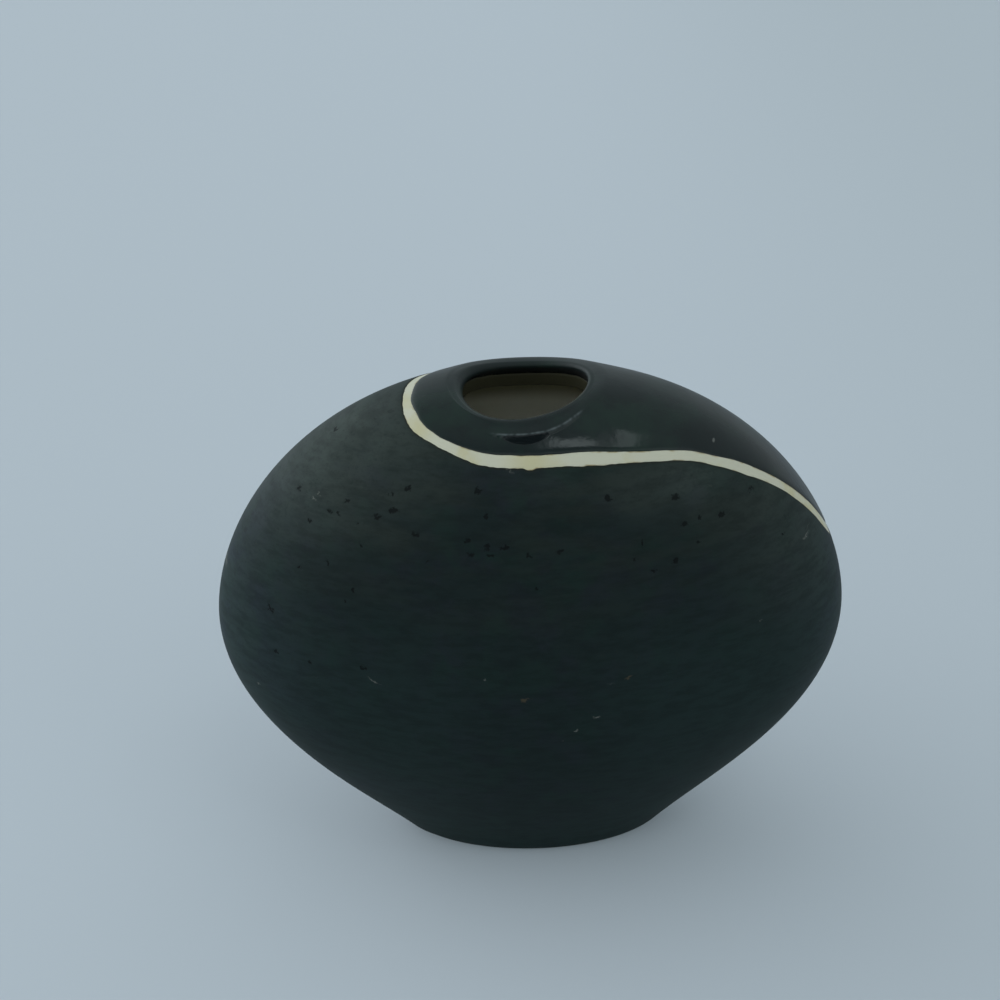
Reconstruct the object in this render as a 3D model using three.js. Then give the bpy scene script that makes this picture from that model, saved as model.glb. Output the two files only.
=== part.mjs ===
import * as THREE from 'three';

const { lerp, clamp, mapLinear, degToRad, radToDeg, euclideanModulo } = THREE.MathUtils;

// Canteen vase: a flattened, pebble-shaped flower vessel of fired clay with a small raised mouth.
// Two moulded half shells are luted together along the narrow sides, stand on an oval foot slab and
// carry a collar with a rounded lip. A gloss glaze covers the shoulder, a matt glaze the body, a cream
// line parts the two, and a clear glaze lines the inside.
// Millimetres, +Z up, origin under the middle of the foot, +X along the width, -Y towards the front.

// Body: an oval dome over the belly, the widest level, with a low swell behind the mouth
const BODY_WIDTH = 250;
const BODY_DEPTH = 130;
const BELLY_HEIGHT = 106;
const CROWN_RISE = 103;
const CROWN_FLATNESS = 2.2;
const CROWN_FULLNESS = 1.8;
const BACK_SWELL = 2;
const BACK_SWELL_REACH = 9;

// Flanks and foot
const FLANK_FULLNESS = 42;
const FLANK_LEAN = 48;
const FOOT_WIDTH = 94;
const FOOT_DEPTH = 48;
const FOOT_EDGE_RADIUS = 12;
const FOOT_SLAB_HEIGHT = 9;

// Mouth: the rim lies a little under the crown at the two sides and dips at the front and back
const MOUTH_WIDTH = 48;
const MOUTH_DEPTH = 46;
const RIM_SET = 1.3;
const RIM_DIP = 3;
const LIP_RADIUS = 3;
const COLLAR_REACH = 7;
const THROAT_ROUND = 1.8;
const BORE_DEPTH = 8;

// Clay wall, coats and the clearance between pieces
const WALL = 5;
const SEAM_THICKNESS = 0.8;
const GLAZE = 0.7;
const GAP = 0.3;
const GLOSS_TURN_IN = 3.8;
const BARE_FOOT = 0.5;

// Cream line: its width, how far it lies under the glazes, and its course round the shoulder as
// [degrees round from +X, share of the plan distance from the collar to the belly]
const LINE_WIDTH = 3.8;
const LINE_SET = 0.2;
const LINE_COURSE = [
  [0, 0.91], [19, 0.7], [36, 0.46], [60, 0.3], [90, 0.185], [120, 0.13],
  [150, 0.118], [180, 0.135], [201, 0.173], [219, 0.203], [250, 0.225],
  [270, 0.219], [286, 0.238], [313, 0.38], [325, 0.472], [341, 0.7],
];

// Facets round the vase and along its wall
const SIDES = 48;
const LIP_STEPS = 3;
const THROAT_STEPS = 4;
const SHOULDER_STEPS = 6;
const BODY_STEPS = 6;
const FLANK_STEPS = 5;
const FOOT_STEPS = 3;
const INSIDE_CROWN_STEPS = 6;
const INSIDE_FLANK_STEPS = 4;

const HALF_WIDTH = BODY_WIDTH / 2;
const HALF_DEPTH = BODY_DEPTH / 2;
const COLLAR_HALF_WIDTH = MOUTH_WIDTH / 2 + COLLAR_REACH;
const COLLAR_HALF_DEPTH = MOUTH_DEPTH / 2 + COLLAR_REACH;
const EDGE_TURN = degToRad(FLANK_LEAN);
const QUARTER_TURN = Math.PI / 2;
const FULL_TURN = 2 * Math.PI;
const MITRE = 1 + Math.SQRT2;
const TINY = 1e-4;
const HALVINGS = 40;

// Depths under the finished outside surface
const CLAY_DEPTH = GLAZE + GAP;
const INSIDE_DEPTH = CLAY_DEPTH + WALL;
const LINER_DEPTH = INSIDE_DEPTH + GAP;
const CAVITY_DEPTH = LINER_DEPTH + GLAZE;

// Levels over the table
const GLAZE_END = CLAY_DEPTH + BARE_FOOT;
const LINER_FLOOR = FOOT_SLAB_HEIGHT + GAP;
const CAVITY_FLOOR = LINER_FLOOR + GLAZE;

function ovalPoint(halfX, halfY, angle, height) {
  return new THREE.Vector3(halfX * Math.cos(angle), halfY * Math.sin(angle), height);
}

// Finished outside surface, in zones that follow each other from the bore over the lip to the foot.
// Each takes a station along the wall and an angle round the vase.

// Height of the crown over a point of the plan; the swell fades out from the collar and towards the sides
function crownHeight(x, y) {
  const reach = Math.min(Math.hypot(x / HALF_WIDTH, y / HALF_DEPTH), 1);
  const dome = CROWN_RISE * (1 - reach ** CROWN_FLATNESS) ** (1 / CROWN_FULLNESS);
  const radius = Math.hypot(x, y);
  const beyondCollar = Math.max(radius - COLLAR_HALF_DEPTH, 0) / BACK_SWELL_REACH;
  const swell = BACK_SWELL * (Math.max(y, 0) / radius) ** 2 * Math.exp(-(beyondCollar ** 2));
  return BELLY_HEIGHT + dome + swell;
}

function rimHeight(angle) {
  return crownHeight(COLLAR_HALF_WIDTH, 0) - RIM_SET - RIM_DIP * Math.sin(angle) ** 2;
}

function mouthPoint(reach, angle, height) {
  return ovalPoint(MOUTH_WIDTH / 2 + reach, MOUTH_DEPTH / 2 + reach, angle, height);
}

// Upright wall inside the mouth; the station is the height over the rim, so it is negative
function bore(station, angle) {
  return mouthPoint(0, angle, rimHeight(angle) + station);
}

// Quarter round from the bore to the top of the lip; the station is the turn
function lip(station, angle) {
  const reach = LIP_RADIUS * (1 - Math.cos(station));
  return mouthPoint(reach, angle, rimHeight(angle) - LIP_RADIUS * (1 - Math.sin(station)));
}

// Outside of the collar, from the top of the lip at 0 to a smooth landing on the crown at 1
function throat(station, angle) {
  const crownAt = (reach) => {
    const point = mouthPoint(reach, angle, 0);
    return crownHeight(point.x, point.y);
  };
  const rim = rimHeight(angle);
  const landing = crownAt(COLLAR_REACH);
  const slope = (crownAt(COLLAR_REACH + TINY) - landing) / TINY;
  const profile = new THREE.CubicBezierCurve(
    new THREE.Vector2(LIP_RADIUS, rim),
    new THREE.Vector2(LIP_RADIUS + THROAT_ROUND, rim),
    new THREE.Vector2(COLLAR_REACH - THROAT_ROUND, landing - slope * THROAT_ROUND),
    new THREE.Vector2(COLLAR_REACH, landing),
  ).getPoint(station);
  return mouthPoint(profile.x, angle, profile.y);
}

// Crown, from the foot of the collar at 0 to the belly at 1; its loops pass from round to oval
function crown(station, angle) {
  const share = Math.sin(Math.min(station, 1) * QUARTER_TURN);
  const halfX = lerp(COLLAR_HALF_WIDTH, HALF_WIDTH, share);
  const halfY = lerp(COLLAR_HALF_DEPTH, HALF_DEPTH, share);
  const plan = ovalPoint(halfX, halfY, angle, 0);
  return plan.setZ(crownHeight(plan.x, plan.y));
}

function footEdge(turn) {
  return new THREE.Vector2(
    FOOT_WIDTH / 2 + FOOT_EDGE_RADIUS * Math.sin(turn),
    FOOT_EDGE_RADIUS * (1 - Math.cos(turn)),
  );
}

const flankEnd = footEdge(EDGE_TURN);
const flankLean = new THREE.Vector2(Math.cos(EDGE_TURN), Math.sin(EDGE_TURN));
const flankCurve = new THREE.CubicBezierCurve(
  new THREE.Vector2(HALF_WIDTH, BELLY_HEIGHT),
  new THREE.Vector2(HALF_WIDTH, BELLY_HEIGHT - FLANK_FULLNESS),
  flankEnd.clone().addScaledVector(flankLean, FLANK_FULLNESS),
  flankEnd,
);

// Flank, from the belly at 0 to the foot edge at 1, then round that edge to the table at 2
function side(station, angle) {
  const along = clamp(station, 0, 2);
  const profile = along < 1 ? flankCurve.getPoint(along) : footEdge(EDGE_TURN * (2 - along));
  const halfY = mapLinear(profile.x, FOOT_WIDTH / 2, HALF_WIDTH, FOOT_DEPTH / 2, HALF_DEPTH);
  return ovalPoint(profile.x, halfY, angle, profile.y);
}

function runAlong(zone, station, angle) {
  return zone(station + TINY, angle).sub(zone(station - TINY, angle));
}

function runAround(zone, station, angle) {
  return zone(station, angle + TINY).sub(zone(station, angle - TINY));
}

// Point at a depth under the finished surface, measured square to it
function sunkPoint(zone, station, angle, depth) {
  const outward = runAlong(zone, station, angle).cross(runAround(zone, station, angle)).normalize();
  return zone(station, angle).addScaledVector(outward, -depth);
}

// Closed loop round the vase; the station is a number or changes with the angle
function loop(zone, station, depth) {
  return Array.from({ length: SIDES }, (_, index) => {
    const angle = FULL_TURN * index / SIDES;
    const along = typeof station === 'function' ? station(angle) : station;
    return sunkPoint(zone, along, angle, depth);
  });
}

// Level loop where the flank or foot edge, sunk by the depth, passes a height over the table
function levelLoop(height, depth) {
  const stationAt = (angle) => {
    let above = 0;
    let below = 2;
    for (let halving = 0; halving < HALVINGS; halving += 1) {
      const middle = (above + below) / 2;
      if (sunkPoint(side, middle, angle, depth).z > height) above = middle;
      else below = middle;
    }
    return above;
  };
  return loop(side, stationAt, depth).map((point) => point.setZ(height));
}

const shares = (steps) => Array.from({ length: steps + 1 }, (_, index) => index / steps);
const between = (from, to, share) => (angle) => lerp(from(angle), to(angle), share);

// Share of the way out from the collar at which the line's middle runs: a smooth closed course, with
// the slope at each given point taken from its two neighbours
function lineShare(angle) {
  const count = LINE_COURSE.length;
  const given = (index) => {
    const [degrees, share] = LINE_COURSE[euclideanModulo(index, count)];
    return { degrees: degrees + 360 * Math.floor(index / count), share };
  };
  const slopeAt = (index) => {
    const before = given(index - 1);
    const after = given(index + 1);
    return (after.share - before.share) / (after.degrees - before.degrees);
  };
  const degrees = euclideanModulo(radToDeg(angle), 360);
  const start = LINE_COURSE.findLastIndex(([course]) => course <= degrees);
  const from = given(start);
  const to = given(start + 1);
  const span = to.degrees - from.degrees;
  const t = (degrees - from.degrees) / span;
  const rise = t * t * (3 - 2 * t);
  const bend = t * (1 - t) * span * ((1 - t) * slopeAt(start) - t * slopeAt(start + 1));
  return lerp(from.share, to.share, rise) + bend;
}

const lineStation = (angle) => Math.asin(lineShare(angle)) / QUARTER_TURN;

// Station of a curve beside the line's middle, at a distance measured over the surface, square to it
const besideLine = (distance) => (angle) => {
  const station = lineStation(angle);
  const along = runAlong(crown, station, angle);
  const around = runAround(crown, station, angle);
  const drift = (lineStation(angle + TINY) - lineStation(angle - TINY)) / (2 * TINY);
  const course = around.clone().addScaledVector(along, drift);
  return station + 2 * TINY * distance * course.length() / along.cross(around).length();
};

const glossEdge = besideLine(-LINE_WIDTH / 2 - GAP);
const matteEdge = besideLine(LINE_WIDTH / 2 + GAP);
const belly = () => 1;
const collarEdge = () => 0;
const collarJoint = (angle) => 2 * TINY * GAP / runAlong(crown, 0, angle).length();

// Rows of loops, from the mouth towards the foot, at one depth

function lipRows(depth) {
  const lipTurns = shares(LIP_STEPS).map((share) => loop(lip, share * QUARTER_TURN, depth));
  const throatRows = shares(THROAT_STEPS).slice(1, -1).map((share) => loop(throat, share, depth));
  return [...lipTurns, ...throatRows];
}

function crownRows(from, to, steps, depth) {
  return shares(steps).map((share) => loop(crown, between(from, to, share), depth));
}

function levelRows(from, to, steps, depth) {
  return shares(steps).slice(1).map((share) => levelLoop(lerp(from, to, share), depth));
}

function outsideRows(depth) {
  return [
    ...crownRows(collarJoint, glossEdge, SHOULDER_STEPS, depth),
    ...crownRows(matteEdge, belly, BODY_STEPS, depth),
    ...levelRows(BELLY_HEIGHT, FOOT_SLAB_HEIGHT, FLANK_STEPS, depth),
  ];
}

function insideRows(top, floor, depth) {
  return [
    ...crownRows(top, belly, INSIDE_CROWN_STEPS, depth),
    ...levelRows(BELLY_HEIGHT, floor, INSIDE_FLANK_STEPS, depth),
  ];
}

// Triangles of a flat loop, each in the order of the loop
function flatFace(points) {
  const isLevel = points.every((point) => point.z === points[0].z);
  const flat = points.map((point) => new THREE.Vector2(point.x, isLevel ? point.y : point.z));
  return THREE.ShapeUtils.triangulateShape(flat, []).map((face) => face.sort((a, b) => a - b));
}

// Closed solid skinned over loops with equal counts of points. A ringed run joins its last loop to its
// first, and any other run is closed by a flat face at each end.
function skinLoops(loops, ringed) {
  const count = loops[0].length;
  const joins = ringed ? loops.length : loops.length - 1;
  const triangles = [];
  for (let index = 0; index < joins; index += 1) {
    const here = index * count;
    const next = ((index + 1) % loops.length) * count;
    for (let corner = 0; corner < count; corner += 1) {
      const after = (corner + 1) % count;
      triangles.push(here + corner, here + after, next + after);
      triangles.push(here + corner, next + after, next + corner);
    }
  }
  if (!ringed) {
    const last = (loops.length - 1) * count;
    flatFace(loops[0]).forEach(([a, b, c]) => triangles.push(c, b, a));
    flatFace(loops.at(-1)).forEach(([a, b, c]) => triangles.push(last + a, last + b, last + c));
  }
  const corners = loops.flat().flatMap((point) => point.toArray());
  const geometry = new THREE.BufferGeometry();
  geometry.setAttribute('position', new THREE.Float32BufferAttribute(corners, 3));
  geometry.setIndex(triangles);
  geometry.computeVertexNormals();
  return geometry;
}

// Ring whose section runs up the outer rows and down the inner rows, both listed from the mouth
function ringSolid(outerRows, innerRows) {
  return skinLoops([...outerRows.toReversed(), ...innerRows], true);
}

// Clay half shells and the slip between them: sections of the wall, set beside the seam plane y = 0

const wallRows = [
  ...outsideRows(CLAY_DEPTH),
  ...insideRows(collarJoint, FOOT_SLAB_HEIGHT, INSIDE_DEPTH).toReversed(),
];

const wallSection = (index) => wallRows.map((row) => row[index % SIDES].clone());
const seamSection = (index, y) => wallSection(index).map((point) => point.setY(y));

function halfShell(firstSide, seamY) {
  const lastSide = firstSide + SIDES / 2;
  const sections = [seamSection(firstSide, seamY)];
  for (let index = firstSide + 1; index < lastSide; index += 1) {
    sections.push(wallSection(index));
  }
  sections.push(seamSection(lastSide, seamY));
  return skinLoops(sections, false);
}

function slipSeam(index, fromY, toY) {
  return skinLoops([seamSection(index, fromY), seamSection(index, toY)], false);
}

// Flat oval slab; its edge is bare clay where it meets the table
function footSlab() {
  const ground = Array.from({ length: SIDES }, (_, index) => (
    ovalPoint(FOOT_WIDTH / 2, FOOT_DEPTH / 2, FULL_TURN * index / SIDES, 0)
  ));
  const edge = shares(FOOT_STEPS).map((share) => (
    levelLoop(lerp(GLAZE_END, FOOT_SLAB_HEIGHT, share), CLAY_DEPTH)
  ));
  return skinLoops([ground, ...edge], false);
}

// Clay ring let into the top of the shells, with the lip, the upright bore and a sloping underside
function mouthCollar() {
  const outer = [
    loop(bore, -BORE_DEPTH, CLAY_DEPTH),
    ...lipRows(CLAY_DEPTH),
    loop(crown, 0, CLAY_DEPTH),
  ];
  return ringSolid(outer, [loop(crown, 0, INSIDE_DEPTH)]);
}

// Gloss coat from inside the bore, over the lip and down to the cream line
function shoulderGlaze() {
  const rows = (depth) => [
    loop(bore, -GLOSS_TURN_IN, depth),
    ...lipRows(depth),
    ...crownRows(collarJoint, glossEdge, SHOULDER_STEPS, depth),
  ];
  return ringSolid(rows(0), rows(GLAZE));
}

// Matt coat from the cream line down to just over the table
function bodyGlaze() {
  const rows = (depth) => [
    ...crownRows(matteEdge, belly, BODY_STEPS, depth),
    ...levelRows(BELLY_HEIGHT, FOOT_SLAB_HEIGHT, FLANK_STEPS, depth),
    ...levelRows(FOOT_SLAB_HEIGHT, GLAZE_END, FOOT_STEPS, depth),
  ];
  return ringSolid(rows(0), rows(GLAZE));
}

// Inlay between the two coats
function creamLine() {
  const rows = (depth) => [-LINE_WIDTH / 2, 0, LINE_WIDTH / 2].map((distance) => (
    loop(crown, besideLine(distance), depth)
  ));
  return ringSolid(rows(LINE_SET), rows(GLAZE));
}

// Clear coat over the whole inside, from the gloss coat in the bore to the floor. It turns the corner
// under the bore with a mitre that clears an underside leaning up to 45 degrees.
function linerGlaze() {
  const start = -GLOSS_TURN_IN - GAP;
  const backRows = [
    loop(bore, start, GLAZE),
    loop(bore, -BORE_DEPTH - MITRE * GAP, GLAZE),
    ...insideRows(collarEdge, LINER_FLOOR, LINER_DEPTH),
  ];
  const faceRows = [
    loop(bore, start, 0),
    loop(bore, -BORE_DEPTH - MITRE * (GAP + GLAZE), 0),
    ...insideRows(collarEdge, CAVITY_FLOOR, CAVITY_DEPTH),
  ];
  return skinLoops([...backRows.toReversed(), ...faceRows], false);
}

const finishes = {
  clay: { color: 0xb9a98c, roughness: 0.9, metalness: 0 },
  slip: { color: 0xa99a80, roughness: 0.95, metalness: 0 },
  gloss: { color: 0x161b20, roughness: 0.18, metalness: 0 },
  matte: { color: 0x232b2a, roughness: 0.7, metalness: 0 },
  cream: { color: 0xd6d2b8, roughness: 0.55, metalness: 0 },
  liner: { color: 0xb4a888, roughness: 0.35, metalness: 0 },
};

const vase = new THREE.Group();

function addPiece(name, geometry, finish) {
  const piece = new THREE.Mesh(geometry, new THREE.MeshStandardMaterial(finishes[finish]));
  piece.name = name;
  vase.add(piece);
}

const seamY = SEAM_THICKNESS / 2;
addPiece('foot_slab', footSlab(), 'clay');
addPiece('back_half', halfShell(0, seamY), 'clay');
addPiece('front_half', halfShell(SIDES / 2, -seamY), 'clay');
addPiece('slip_seam_right', slipSeam(0, -seamY, seamY), 'slip');
addPiece('slip_seam_left', slipSeam(SIDES / 2, seamY, -seamY), 'slip');
addPiece('mouth_collar', mouthCollar(), 'clay');
addPiece('liner_glaze', linerGlaze(), 'liner');
addPiece('body_glaze', bodyGlaze(), 'matte');
addPiece('shoulder_glaze', shoulderGlaze(), 'gloss');
addPiece('cream_line', creamLine(), 'cream');

export default vase;
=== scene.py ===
import bpy
import numpy as np
from mathutils import Matrix


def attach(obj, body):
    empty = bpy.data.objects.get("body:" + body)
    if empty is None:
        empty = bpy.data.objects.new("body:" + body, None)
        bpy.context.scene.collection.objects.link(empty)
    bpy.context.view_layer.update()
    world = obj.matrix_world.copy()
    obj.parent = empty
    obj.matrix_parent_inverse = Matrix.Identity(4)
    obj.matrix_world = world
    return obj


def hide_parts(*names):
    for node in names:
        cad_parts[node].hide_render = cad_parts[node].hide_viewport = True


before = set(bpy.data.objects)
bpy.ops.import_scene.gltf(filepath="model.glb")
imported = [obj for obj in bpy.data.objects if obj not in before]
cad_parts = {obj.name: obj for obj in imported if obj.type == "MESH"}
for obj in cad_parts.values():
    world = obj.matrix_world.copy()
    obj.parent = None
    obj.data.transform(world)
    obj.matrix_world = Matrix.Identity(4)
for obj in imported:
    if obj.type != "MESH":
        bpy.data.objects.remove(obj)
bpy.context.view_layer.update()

# Foot slab: a flat oval of rolled stoneware, cut out and luted under the two half shells. Its edge is
# rounded up into the flanks, and the underside stays bare so that it doesn't stick to the kiln shelf.
HALF_WIDTH = 0.125
HALF_DEPTH = 0.065
BELLY_HEIGHT = 0.106
FOOT_HALF_WIDTH = 0.047
FOOT_HALF_DEPTH = 0.024
FOOT_EDGE_RADIUS = 0.012
FOOT_EDGE_TURN = np.radians(48.0)
FLANK_FULLNESS = 0.042
FLANK_SWELL = 0.0018
FLANK_SWELL_SIDE = np.radians(200.0)
FLANK_SWELL_STATION = 0.72
FLANK_SWELL_SPREAD = 0.32
FOOT_SLAB_HEIGHT = 0.009
SLAB_END = 1.02
SLAB_ROWS = 12
SLAB_TOP_SHARE = 0.97
CLAY_DEPTH = 0.0008
CLAY_COLOUR = (0.44, 0.36, 0.25, 1.0)
CLAY_DARK = (0.30, 0.235, 0.155, 1.0)
COLUMNS = 576
ROUND = np.linspace(0.0, 2.0 * np.pi, COLUMNS, endpoint=False)


def curve_shares(t):
    """Shares of the four control points of a cubic curve: powers of t and of one less t."""
    return (1 - t) ** 3, 3 * t * (1 - t) ** 2, 3 * t * t * (1 - t), t ** 3


def flank(station, angle):
    """Outside wall under the belly. From station 0 to 1 a cubic curve drops from the upright belly to the
    lean of the foot edge, from 1 to 2 a circular arc rolls under to the table. The oval's half depth
    shrinks in step with its half width, and a bell-shaped swell fills out the left front."""
    station = np.clip(station, 0.0, 2.0)
    end_width = FOOT_HALF_WIDTH + FOOT_EDGE_RADIUS * np.sin(FOOT_EDGE_TURN)
    end_height = FOOT_EDGE_RADIUS * (1.0 - np.cos(FOOT_EDGE_TURN))
    a, b, c, d = curve_shares(np.minimum(station, 1.0))
    lean_width = end_width + FLANK_FULLNESS * np.cos(FOOT_EDGE_TURN)
    lean_height = end_height + FLANK_FULLNESS * np.sin(FOOT_EDGE_TURN)
    width = (a + b) * HALF_WIDTH + c * lean_width + d * end_width
    height = a * BELLY_HEIGHT + b * (BELLY_HEIGHT - FLANK_FULLNESS) + c * lean_height + d * end_height
    turn = FOOT_EDGE_TURN * (2.0 - np.maximum(station, 1.0))
    width = np.where(station < 1.0, width, FOOT_HALF_WIDTH + FOOT_EDGE_RADIUS * np.sin(turn))
    height = np.where(station < 1.0, height, FOOT_EDGE_RADIUS * (1.0 - np.cos(turn)))
    share = (width - FOOT_HALF_WIDTH) / (HALF_WIDTH - FOOT_HALF_WIDTH)
    depth = FOOT_HALF_DEPTH + share * (HALF_DEPTH - FOOT_HALF_DEPTH)
    side = np.maximum(np.cos(angle - FLANK_SWELL_SIDE), 0.0) ** 2
    bell = np.exp(-((station - FLANK_SWELL_STATION) / FLANK_SWELL_SPREAD) ** 2)
    swell = 1.0 + FLANK_SWELL / width * side * bell
    return np.stack([swell * width * np.cos(angle), swell * depth * np.sin(angle), height], axis=-1)


def outward(zone, station, angle):
    """Unit normal of a zone: the run along the wall crossed with the run round the vase."""
    step = 1e-4
    along = zone(station + step, angle) - zone(station - step, angle)
    around = zone(station, angle + step) - zone(station, angle - step)
    normal = np.cross(along, around)
    return normal / np.linalg.norm(normal, axis=-1, keepdims=True)


def sunk(zone, station, depth):
    """Rows of points of a zone, moved inwards by a depth, square to the surface. Stations and depths are
    one value a row, or one value for each row and column."""
    station = np.asarray(station, float)
    if station.ndim == 1:
        station = station[:, None]
    station = np.broadcast_to(station, (station.shape[0], ROUND.size))
    angle = np.broadcast_to(ROUND, station.shape)
    depth = np.asarray(depth, float)
    if depth.ndim == 1:
        depth = depth[:, None]
    depth = np.broadcast_to(depth, station.shape)
    return zone(station, angle) - depth[..., None] * outward(zone, station, angle)


def skin(name, rows, ringed):
    """Mesh object over a grid of points. Each row closes round the vase. A ringed grid joins its last row
    to its first, and any other grid is closed by a fan round the middle of each end row."""
    count, columns = rows.shape[:2]
    here = np.arange(count * columns).reshape(count, columns)
    if ringed:
        here = np.vstack([here, here[:1]])
    beside = np.roll(here, -1, axis=1)
    faces = np.stack([here[:-1], beside[:-1], beside[1:], here[1:]], axis=-1).reshape(-1, 4).tolist()
    points = rows.reshape(-1, 3)
    if not ringed:
        first, last = count * columns, count * columns + 1
        points = np.vstack([points, rows[0].mean(axis=0), rows[-1].mean(axis=0)])
        start_hub = np.full(columns, first)
        end_hub = np.full(columns, last)
        faces += np.stack([beside[0], here[0], start_hub], axis=-1).tolist()
        faces += np.stack([here[-1], beside[-1], end_hub], axis=-1).tolist()
    mesh = bpy.data.meshes.new(name)
    mesh.from_pydata(points.tolist(), [], faces)
    mesh.shade_smooth()
    mesh.update()
    piece = bpy.data.objects.new(name, mesh)
    bpy.context.scene.collection.objects.link(piece)
    return piece


def new_finish(name, roughness, specular):
    """Node material with one shader; values that are the same all over sit on the shader's own sockets."""
    finish = bpy.data.materials.new(name)
    finish.use_nodes = True
    shader = finish.node_tree.nodes["Principled BSDF"]
    shader.inputs["Roughness"].default_value = roughness
    shader.inputs["Specular IOR Level"].default_value = specular
    return finish, shader


def add(finish, kind, values, **settings):
    """Node of a kind with its settings. Each input gets a plain value or a link from another node."""
    node = finish.node_tree.nodes.new(kind)
    for setting, value in settings.items():
        setattr(node, setting, value)
    for key, value in values.items():
        if isinstance(value, bpy.types.NodeSocket):
            finish.node_tree.links.new(value, node.inputs[key])
        else:
            node.inputs[key].default_value = value
    return node


def join(finish, socket, shader, key):
    """Link from a node's output to one input of the shader."""
    finish.node_tree.links.new(socket, shader.inputs[key])


def object_place(finish):
    """Object coordinates, in metres from the middle of the foot."""
    return add(finish, "ShaderNodeTexCoord", {}).outputs["Object"]


def parts_of(finish, place):
    """Parts of a place along X, Y and Z."""
    return add(finish, "ShaderNodeSeparateXYZ", {"Vector": place}).outputs


def share_of(finish, value, low, high):
    """Value as a smooth share from 0 at low to 1 at high."""
    values = {"Value": value, "From Min": low, "From Max": high}
    return add(finish, "ShaderNodeMapRange", values, interpolation_type="SMOOTHSTEP").outputs["Result"]


def mixed(finish, share, under, over):
    """Colour that goes from one to the other with a share, through the Mix node's colour sockets."""
    values = {0: share, 6: under, 7: over}
    return add(finish, "ShaderNodeMix", values, data_type="RGBA").outputs[2]


def grain(finish, place, scale, detail, roughness, output="Fac"):
    """Cloudy noise of a number of waves a metre, as a number or as a colour."""
    values = {"Vector": place, "Scale": scale, "Detail": detail, "Roughness": roughness}
    return add(finish, "ShaderNodeTexNoise", values).outputs[output]


def bumped(finish, shader, height, strength, distance):
    """Link of a bump to the shader: a height of 0 to 1 stands for a distance in metres."""
    bump = add(finish, "ShaderNodeBump", {"Strength": strength, "Distance": distance, "Height": height})
    join(finish, bump.outputs["Normal"], shader, "Normal")


bare_clay, clay_shader = new_finish("bare clay", 0.9, 0.2)
clay_place = object_place(bare_clay)
clay_cloud = grain(bare_clay, clay_place, 60.0, 5.0, 0.6)
clay_grit = grain(bare_clay, clay_place, 900.0, 3.0, 0.7)
clay_tint = mixed(bare_clay, share_of(bare_clay, clay_cloud, 0.35, 0.65), CLAY_DARK, CLAY_COLOUR)
join(bare_clay, clay_tint, clay_shader, "Base Color")
bumped(bare_clay, clay_shader, clay_grit, 0.5, 0.0003)

slab_shares = np.array([0.2, 0.4, 0.6, 0.8, 0.94])
slab_ground = np.stack([
    slab_shares[:, None] * FOOT_HALF_WIDTH * np.cos(ROUND),
    slab_shares[:, None] * FOOT_HALF_DEPTH * np.sin(ROUND),
    np.zeros((slab_shares.size, COLUMNS)),
], axis=-1)
slab_edge = sunk(flank, np.linspace(2.0, SLAB_END, SLAB_ROWS), np.linspace(0.0, CLAY_DEPTH, SLAB_ROWS))
slab_edge[..., 2] = np.minimum(slab_edge[..., 2], FOOT_SLAB_HEIGHT)
slab_top = slab_edge[-1] * np.array([SLAB_TOP_SHARE, SLAB_TOP_SHARE, 1.0])
foot_slab = skin("foot_slab_clay", np.concatenate([slab_ground, slab_edge, slab_top[None]]), False)
foot_slab.data.materials.append(bare_clay)
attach(foot_slab, "root")
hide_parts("foot_slab")

# Half shells: the front and the back of the body, pressed into moulds from stoneware rolled five millimetres
# thick. The coats and the liner cover them all over, so they keep their plain shape and only take a finish.
for clay_node in ("front_half", "back_half"):
    clay_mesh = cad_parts[clay_node].data
    clay_mesh.materials.clear()
    clay_mesh.materials.append(bare_clay)

# Seams: thin beds of wet clay slip that lute the two halves together down the narrow sides. They are
# scraped flush and fired, and lie under the coats.
SLIP_COLOUR = (0.36, 0.30, 0.215, 1.0)
SLIP_PALE = (0.42, 0.355, 0.265, 1.0)
seam_slip, slip_shader = new_finish("seam slip", 0.95, 0.2)
slip_cloud = grain(seam_slip, object_place(seam_slip), 240.0, 4.0, 0.6)
join(seam_slip, mixed(seam_slip, slip_cloud, SLIP_COLOUR, SLIP_PALE), slip_shader, "Base Color")
for seam_node in ("slip_seam_right", "slip_seam_left"):
    seam_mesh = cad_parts[seam_node].data
    seam_mesh.materials.clear()
    seam_mesh.materials.append(seam_slip)

# Mouth collar: a thrown ring of stoneware, let into the opening of the two shells and luted there, with its
# lip rounded by a wet sponge. The gloss coat and the liner cover it.
CROWN_RISE = 0.103
CROWN_FLATNESS = 2.2
CROWN_FULLNESS = 1.8
MOUTH_HALF_WIDTH = 0.024
MOUTH_HALF_DEPTH = 0.023
COLLAR_REACH = 0.007
RIM_SET = 0.0001
RIM_DIP = 0.0042
LIP_SAG = 0.0018
LIP_BULGE = 0.0019
LIP_SAG_SIDE = np.radians(231.5)
BACK_SWELL = 0.0027
LEFT_HOLLOW = 0.0008
LEFT_HOLLOW_SIDE = np.radians(212.0)
SWELL_REACH = 0.0090
LIP_RADIUS = 0.0016
LIP_SOFT = 0.0028
LIP_SOFT_SIDE = np.radians(188.0)
LIP_INSET = 0.0006
THROAT_ROUND = 0.0018
COLLAR_DEPTH = 0.0010
COLLAR_LOW = -0.0095
COLLAR_END = 0.98
COLLAR_END_DEPTH = 0.0058


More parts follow.
